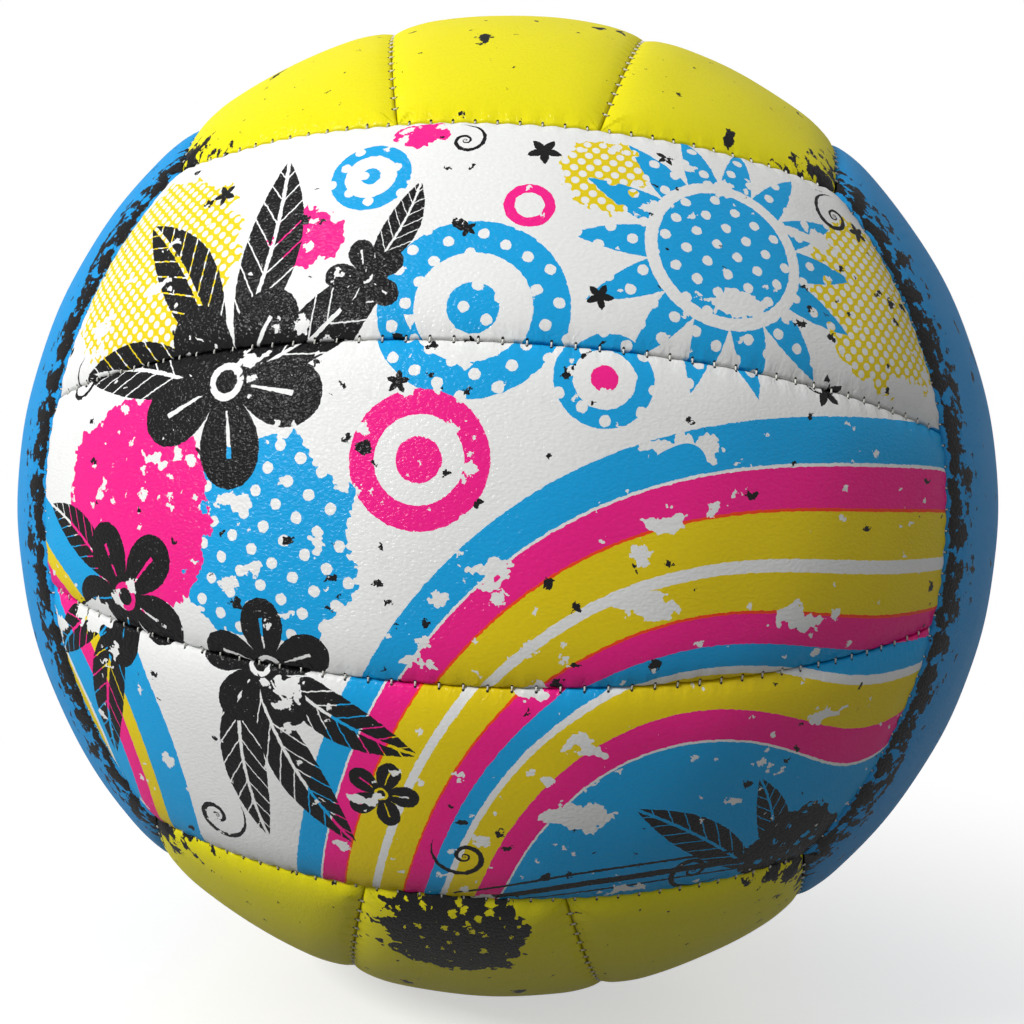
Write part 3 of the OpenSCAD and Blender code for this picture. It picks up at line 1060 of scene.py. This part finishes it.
print(len(BANDS), "bands and", len(SWIRL), "in the swirl")

# %% [markdown]
# Black is printed over all colours and joins the picture together: a bunch of flowers and leaves,
# curls and stars between the bubbles, and some long tendrils at the lower right.

# %% Black flowers, leaves, curls and stars
# A flower and a star are x, y, size and turn. A leaf is x, y, turn, length and width. A curl is
# x, y, size, turn and the way round that it winds.
FLOWERS = [
    (-42, 20, 18, 0.4), (-63, -18, 14.5, 1.1), (-33, -27, 12, 2.2), (-12, -48, 6.5, 0.1),
    (-20, 38, 7, 1.7),
]
LEAVES = [
    (-44, 22, 2.25, 42, 12), (-42, 24, 1.5, 40, 11), (-40, 20, 0.75, 34, 10), (-44, 18, 3.0, 38, 11),
    (-64, -20, 3.7, 28, 9), (-62, -20, 4.4, 36, 10), (-34, -28, 5.2, 36, 9), (-32, -26, 5.8, 30, 8),
    (-36, -28, 4.75, 34, 9), (-66, -16, 2.6, 26, 8), (-20, 38, 1.2, 20, 6), (58, -70, 2.5, 34, 8),
    (62, -70, 1.9, 26, 7),
]
CURLS = [
    (2, -60, 6.5, 0.1, 1), (-46, -60, 7.5, 0.6, -1), (66, 62, 6.5, 0.3, 1), (-6, 66, 5.0, 0.8, -1),
    (44, -66, 7.5, 0.45, -1), (-80, 22, 6.0, 0.2, 1),
]
STARS = [
    (8, 64, 3.2, 0.2), (60, 24, 3.4, 0.6), (18, 36, 2.4, 0.1), (-12, 20, 2.0, 0.8),
    (72, 60, 2.6, 0.4), (-4, 47, 1.7, 0.5), (30, 66, 2.0, 0.9), (-52, 58, 2.6, 0.3),
]
TENDRILS = [(44, -186, 124.0, 0.6), (44, -186, 121.0, 1.6), (44, -186, 118.5, 0.5)]
tendril_patch = (30, -60, 32)

bunch = [
    shape(tree, crept, *spot)
    for shape, spots in ((flower, FLOWERS), (leaf, LEAVES), (curl, CURLS), (star, STARS))
    for spot in spots]
bunch.append(without(tree, disc(tree, torn, 66, -66, 12), splashes(tree, place, 2.6, 0.7, 0.3, 1.5, 8.0)))
bunch.append(add(tree, "ShaderNodeMath", {"operation": "MULTIPLY"}, {
    0: joined(tree, *[ring(tree, crept, *line) for line in TENDRILS]),
    1: disc(tree, crept, *tendril_patch)}))
bunch.append(patchy(tree, place, splashes(tree, place, 2.8, 0.12, 0.6, 1.2, 21.0), 26, 0.5))
colour = inked(tree, colour, joined(tree, *bunch), BLACK_INK)
print("black shapes", len(bunch))

# %% [markdown]
# White splashes in three sizes come last, thick in some areas and thin in others. Then the finish
# puts grain and lacquer over the print.

# %% White splashes and the finish
flicks = joined(
    tree,
    patchy(tree, place, splashes(tree, place, 9.0, 0.28, 0.9, 2.4, 5.0), 40, 0.6),
    patchy(tree, place, splashes(tree, place, 4.2, 0.16, 0.9, 1.3, 12.0), 22, 0.6),
    splashes(tree, place, 1.9, 0.05, 0.2, 1.0, 31.0))
colour = inked(tree, colour, flicks, SPLASH_INK)
leather(tree, colour, place)
print("print nodes", len(tree.nodes))

# %% [markdown]
# ## Blue and yellow panels
# The side faces are blue with a torn black edge along the front and back. The top and bottom are
# yellow with black specks at the corners and one black smudge, as if a stencil had leaked. Noise
# against a limit that rises with the distance from the seam gives ink that breaks up by itself.

# %% Torn black edges
RIM_BLUE = "#1597DC"
CAP_YELLOW = "#EFE40F"
blotches_in_mm = 0.27
first_limit = 0.37
last_limit = 0.72
bare_seam = 0.2
bare_seam_limit = 0.28


def torn_ink(tree, place, distance, near, far, seed):
    """Black ink that is thick near a seam and breaks up away from it."""
    moved = add(tree, "ShaderNodeVectorMath", {"operation": "ADD"}, {0: place, 1: (seed, seed, 0)})
    noise = add(tree, "ShaderNodeTexNoise", {"noise_dimensions": "2D"}, {
        "Vector": moved, "Scale": blotches_in_mm, "Detail": 5.0, "Roughness": 0.62})
    limit = add(tree, "ShaderNodeMapRange", {}, {
        "Value": distance, "From Min": near, "From Max": far,
        "To Min": first_limit, "To Max": last_limit})
    start = add(tree, "ShaderNodeMapRange", {}, {
        "Value": distance, "From Min": bare_seam, "From Max": near,
        "To Min": bare_seam_limit, "To Max": 0})
    level = add(tree, "ShaderNodeMath", {"operation": "ADD"}, {0: limit, 1: start})
    return add(tree, "ShaderNodeMath", {"operation": "GREATER_THAN"}, {
        0: noise.outputs["Fac"], 1: level})


side, tree = new_material("blue_polyurethane_leather")
place = add(tree, "ShaderNodeAttribute", {"attribute_name": "print_mm"}).outputs["Vector"]
border = add(tree, "ShaderNodeAttribute", {"attribute_name": "long_mm"}).outputs["Fac"]
black = torn_ink(tree, place, border, 1.4, 14, 0.0)
specks = patchy(tree, place, splashes(tree, place, 3.2, 0.12, 0.4, 1.6, 9.0), 30, 0.5)
leather(tree, inked(tree, RIM_BLUE, joined(tree, black, specks), BLACK_INK), place)
print("blue nodes", len(tree.nodes))

# %% Specks and a smudge
cap, tree = new_material("yellow_polyurethane_leather")
place = add(tree, "ShaderNodeAttribute", {"attribute_name": "print_mm"}).outputs["Vector"]
border = add(tree, "ShaderNodeAttribute", {"attribute_name": "long_mm"}).outputs["Fac"]
tip = add(tree, "ShaderNodeAttribute", {"attribute_name": "end_mm"}).outputs["Fac"]
corner_away = add(tree, "ShaderNodeMath", {"operation": "ADD"}, {0: border, 1: tip})
black = torn_ink(tree, place, corner_away, 1.5, 22, 40.0)
smudge = disc(tree, ragged(tree, place, 9.0, 7.0), 84, 2, 15)
smudge = without(tree, smudge, splashes(tree, place, 2.4, 0.6, 1.2, 1.4, 7.0))
specks = patchy(tree, place, splashes(tree, place, 4.5, 0.07, 0.9, 2.2, 15.0), 26, 0.55)
leather(tree, inked(tree, CAP_YELLOW, joined(tree, black, smudge, specks), BLACK_INK), place)
print("yellow nodes", len(tree.nodes))

# %% Dress the panels
FINISHES = {
    "front": (printed, "cover_printed"), "back": (printed, "cover_printed"),
    "left": (side, "cover_blue"), "right": (side, "cover_blue"),
    "top": (cap, "cover_yellow"), "bottom": (cap, "cover_yellow"),
}
for (face, strip), piece in panels.items():
    material, slot = FINISHES[face]
    piece.data.materials.append(material)
print("panels dressed", len(panels))

# %% [markdown]
# ## Thread finish
# The thread is bonded polyester: twisted fibres with a thin film that keeps the plies together. The
# eye sees it as off-white and slightly fuzzy, with a dull sheen. Fine noise is enough for the fibres,
# because the twist is in the mesh.

# %% Thread
THREAD_WHITE = "#DEDCD4"
# Real fibres are about 0.02 mm thick. They are drawn coarser, so that they show in a picture.
fibres_in_mm = 9.0
fibre_depth = 0.04
fibre_tones = (0.8, 1.05)
thread_roughness = 0.55

polyester, tree = new_material("bonded_polyester_thread")
place = add(tree, "ShaderNodeTexCoord")
fibre = add(tree, "ShaderNodeTexNoise", {}, {
    "Vector": place.outputs["Object"], "Scale": fibres_in_mm / MM, "Detail": 2.0})
tint = add(tree, "ShaderNodeMapRange", {}, {
    "Value": fibre.outputs["Fac"], "To Min": fibre_tones[0], "To Max": fibre_tones[1]})
colour = add(tree, "ShaderNodeVectorMath", {"operation": "SCALE"}, {
    0: paint(THREAD_WHITE)[:3], "Scale": tint})
bump = add(tree, "ShaderNodeBump", {}, {"Height": fibre.outputs["Fac"], "Distance": fibre_depth * MM})
shader = add(tree, "ShaderNodeBsdfPrincipled", {}, {
    "Base Color": colour, "Roughness": thread_roughness, "Normal": bump})
add(tree, "ShaderNodeOutputMaterial", {}, {"Surface": shader})
for piece in threads.values():
    piece.data.materials.append(polyester)
print("thread dressed", len(threads))

# %% [markdown]
# ## Inside the ball
# Under the leather lie foam, a cloth backing and the rubber bladder with its valve. They are the CAD
# model's own pieces, so they only need finishes. Of these only the valve shows, through its hole.
# One function gives two tones and a bump from any pattern, and each material brings its own pattern.

# %% Foam and cloth
bubble_size = 0.35
bubble_depth = 0.08
foam_roughness = 0.75
yarn_pitch = 0.5
yarn_depth = 0.12
yarn_share = 0.25
cloth_roughness = 0.85


def in_millimetres(tree):
    """The object's own coordinates, in millimetres."""
    place = add(tree, "ShaderNodeTexCoord")
    return add(tree, "ShaderNodeVectorMath", {"operation": "SCALE"}, {
        0: place.outputs["Object"], "Scale": 1 / MM})


def finish(tree, pattern, dark, light, roughness, depth):
    """Two tones and a bump from one pattern."""
    tint = add(tree, "ShaderNodeMix", {"data_type": "RGBA"}, {
        "Factor": pattern, 6: paint(dark), 7: paint(light)})
    bump = add(tree, "ShaderNodeBump", {}, {"Height": pattern, "Distance": depth * MM})
    shader = add(tree, "ShaderNodeBsdfPrincipled", {}, {
        "Base Color": tint.outputs[2], "Roughness": roughness, "Normal": bump})
    add(tree, "ShaderNodeOutputMaterial", {}, {"Surface": shader})


# Foam with closed cells looks like pale, dry bread: matt, with fine bubbles cut open.
foam, tree = new_material("closed_cell_eva_foam")
cells = add(tree, "ShaderNodeTexVoronoi", {}, {"Vector": in_millimetres(tree), "Scale": 1 / bubble_size})
finish(tree, cells.outputs["Distance"], "#E9E2C8", "#F7F2E2", foam_roughness, bubble_depth)

# Cloth shows its yarns as a grid of small soft knots. A sine along each axis makes them.
cloth, tree = new_material("woven_polyester_cloth")
parts = add(tree, "ShaderNodeSeparateXYZ", {}, {0: in_millimetres(tree)})
waves = []
for axis in range(3):
    turned = add(tree, "ShaderNodeMath", {"operation": "MULTIPLY"}, {
        0: parts.outputs[axis], 1: 2 * math.pi / yarn_pitch})
    waves.append(add(tree, "ShaderNodeMath", {"operation": "SINE"}, {0: turned}))
woven = add(tree, "ShaderNodeMath", {"operation": "MULTIPLY"}, {0: waves[0], 1: waves[1]})
woven = add(tree, "ShaderNodeMath", {"operation": "MULTIPLY_ADD"}, {0: woven, 1: yarn_share, 2: 0.5})
woven = add(tree, "ShaderNodeMath", {"operation": "MULTIPLY_ADD"}, {0: waves[2], 1: yarn_share, 2: woven})
finish(tree, woven, "#D9D5C8", "#F1EEE4", cloth_roughness, yarn_depth)
print("soft layers", foam.name, cloth.name)

# %% [markdown]
# The rubber pieces share one recipe: a dull surface with a faint bloom of moulding dust in clouds.
# The bladder is thin and dusty, its patch is denser, the valve's neck is grey, and the core that
# seals the needle's bore is the darkest. The last number says how many clouds fit in a millimetre.

# %% Rubber, and the inner pieces dressed
rubber_roughness = 0.55
dust_depth = 0.05
dust_detail = 5.0


def rubber(name, dark, light, clouds):
    """Moulded rubber: matt, with a faint bloom of moulding dust."""
    material, tree = new_material(name)
    bloom = add(tree, "ShaderNodeTexNoise", {}, {
        "Vector": in_millimetres(tree), "Scale": clouds, "Detail": dust_detail})
    finish(tree, bloom.outputs["Fac"], dark, light, rubber_roughness, dust_depth)
    return material


INNER = {
    "foam": foam,
    "backing": cloth,
    "bladder": rubber("dusted_butyl_rubber", "#1B1B1C", "#3A3A3B", 0.25),
    "valve_patch": rubber("bonded_butyl_rubber", "#222223", "#333334", 0.8),
    "valve_body": rubber("moulded_grey_rubber", "#8E908F", "#A9ABAA", 1.5),
    "valve_core": rubber("self_sealing_rubber", "#19191A", "#2C2C2D", 2.0),
}
for name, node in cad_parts.items():
    material = INNER.get(name, INNER.get(name.split("_")[0]))
    for slot in node.material_slots if material else []:
        slot.material = material
print("inner finishes", list(INNER))

# %% [markdown]
# ## Studio
# The camera stands where the photograph was taken from: about three radii from the ball's middle,
# and level with it but for a turn of four degrees in all. The lens and the picture's centre are in
# pixels of the photograph, as the ball's outline and seam corners give them.

# %% Camera
camera_turn = Vector((0.01349, 0.04417, -0.05659))
camera_distance = 2.872 * ball_r
focal_px = 1321.6
picture_px = 1024
centre_px = (508.1, 505.9)
sensor_mm = 36

turn_axis = camera_turn.normalized()
ball_turn = Matrix.Rotation(camera_turn.length, 3, turn_axis).inverted()
camera_data = bpy.data.cameras.new("photo_camera")
camera = bpy.data.objects.new("photo_camera", camera_data)
bpy.context.scene.collection.objects.link(camera)
camera.location = ball_turn @ Vector((0, -camera_distance * MM, 0))
camera.rotation_euler = (ball_turn @ Euler((math.pi / 2, 0, 0)).to_matrix()).to_euler()
camera_data.sensor_width = sensor_mm
camera_data.lens = focal_px / picture_px * sensor_mm
camera_data.shift_x = (picture_px / 2 - centre_px[0]) / picture_px
camera_data.shift_y = (centre_px[1] - picture_px / 2) / picture_px
camera_data.clip_start = 0.01
bpy.context.scene.camera = camera
bpy.context.scene.view_settings.view_transform = "Standard"
print("camera", [round(c, 3) for c in camera.location], f"lens {camera_data.lens:.1f} mm")

# %% [markdown]
# Three lamps light the ball. A small bright key at the upper left gives the pale gloss along the
# panels, a weak fill keeps the right side from going dark, and a low lamp straight behind lights
# the rims. Each has its place in metres, its two sides in metres and its power in watts.

# %% Lamps
LAMPS = {
    "key": ((-0.75, -0.75, 0.55), (0.18, 0.28), 10.8),
    "fill": ((0.9, -0.5, -0.02), (0.6, 0.6), 0.25),
    "back": ((0, 1.2, 0.12), (0.6, 0.6), 6.5),
}
for name, (place, size, power) in LAMPS.items():
    lamp_data = bpy.data.lights.new(name, "AREA")
    lamp_data.shape = "RECTANGLE"
    lamp_data.size, lamp_data.size_y = size
    lamp_data.energy = power
    lamp = bpy.data.objects.new(name, lamp_data)
    lamp.location = place
    lamp.rotation_euler = (-Vector(place)).to_track_quat("-Z", "Y").to_euler()
    bpy.context.scene.collection.objects.link(lamp)
print("lamps", list(LAMPS))

# %% [markdown]
# The world lights the ball softly, most of all from the upper left. To the camera, and to the rays
# that gloss and clear things send out, it is plain white.

# %% World
sky_from = Vector((-0.5, -0.45, 0.75)).normalized()
sky_low = 0.0
sky_high = 0.56
pure_white = (1, 1, 1, 1)

world = bpy.data.worlds.new("studio")
world.use_nodes = True
sky = world.node_tree
sky.nodes.clear()
path = add(sky, "ShaderNodeLightPath")
seen = add(sky, "ShaderNodeMath", {"operation": "MAXIMUM"}, {
    0: path.outputs["Is Camera Ray"], 1: path.outputs["Is Transmission Ray"]})
seen = add(sky, "ShaderNodeMath", {"operation": "MAXIMUM"}, {0: seen, 1: path.outputs["Is Glossy Ray"]})
place = add(sky, "ShaderNodeTexCoord")
towards = add(sky, "ShaderNodeVectorMath", {"operation": "DOT_PRODUCT"}, {
    0: place.outputs["Generated"], 1: tuple(sky_from)})
level = add(sky, "ShaderNodeMapRange", {}, {
    "Value": towards.outputs["Value"], "From Min": -1, "From Max": 1,
    "To Min": sky_low, "To Max": sky_high})
white_sky = add(sky, "ShaderNodeBackground", {}, {"Color": pure_white, "Strength": 1.0})
soft_sky = add(sky, "ShaderNodeBackground", {}, {"Color": pure_white, "Strength": level})
choice = add(sky, "ShaderNodeMixShader", {}, {0: seen, 1: soft_sky, 2: white_sky})
add(sky, "ShaderNodeOutputWorld", {}, {"Surface": choice})
bpy.context.scene.world = world
print("world", world.name)

# %% [markdown]
# The floor looks white to the camera, and near the ball it is lit paper, which keeps the soft
# shadow. To all other rays it is a matt grey, so that it throws less light up under the ball. From
# below it is clear.

# %% Floor
floor_r = 3.0
floor_corners = 96
shadow_r = 0.08
white_r = 0.3
near_glow = 0.55

floor_mesh = bpy.data.meshes.new("floor")
floor_shape = bmesh.new()
bmesh.ops.create_circle(floor_shape, cap_ends=True, segments=floor_corners, radius=floor_r)
floor_shape.to_mesh(floor_mesh)
floor_shape.free()
floor = bpy.data.objects.new("floor", floor_mesh)
floor.location.z = -ball_r * MM
bpy.context.scene.collection.objects.link(floor)

paper, tree = new_material("matt_white_paper")
place = add(tree, "ShaderNodeTexCoord")
away = add(tree, "ShaderNodeVectorMath", {"operation": "LENGTH"}, {0: place.outputs["Object"]})
fade = add(tree, "ShaderNodeMapRange", {"interpolation_type": "SMOOTHSTEP"}, {
    "Value": away.outputs["Value"], "From Min": shadow_r, "From Max": white_r})
path = add(tree, "ShaderNodeLightPath")
seen = add(tree, "ShaderNodeMath", {"operation": "MAXIMUM"}, {
    0: path.outputs["Is Camera Ray"], 1: path.outputs["Is Glossy Ray"]})
lit = add(tree, "ShaderNodeBsdfDiffuse", {}, {"Color": paint("#C8C8C8")})
glow = add(tree, "ShaderNodeEmission", {}, {"Color": pure_white, "Strength": near_glow})
near = add(tree, "ShaderNodeAddShader", {}, {0: lit, 1: glow})
white = add(tree, "ShaderNodeEmission", {}, {"Color": pure_white, "Strength": 1.0})
shown = add(tree, "ShaderNodeMixShader", {}, {0: fade, 1: near, 2: white})
matt = add(tree, "ShaderNodeBsdfDiffuse", {}, {"Color": paint("#6C6C6C")})
mixed = add(tree, "ShaderNodeMixShader", {}, {0: seen, 1: matt, 2: shown})
facing = add(tree, "ShaderNodeNewGeometry")
clear = add(tree, "ShaderNodeBsdfTransparent")
one_way = add(tree, "ShaderNodeMixShader", {}, {0: facing.outputs["Backfacing"], 1: mixed, 2: clear})
add(tree, "ShaderNodeOutputMaterial", {}, {"Surface": one_way})
floor_mesh.materials.append(paper)
print("floor", floor_r, "m")
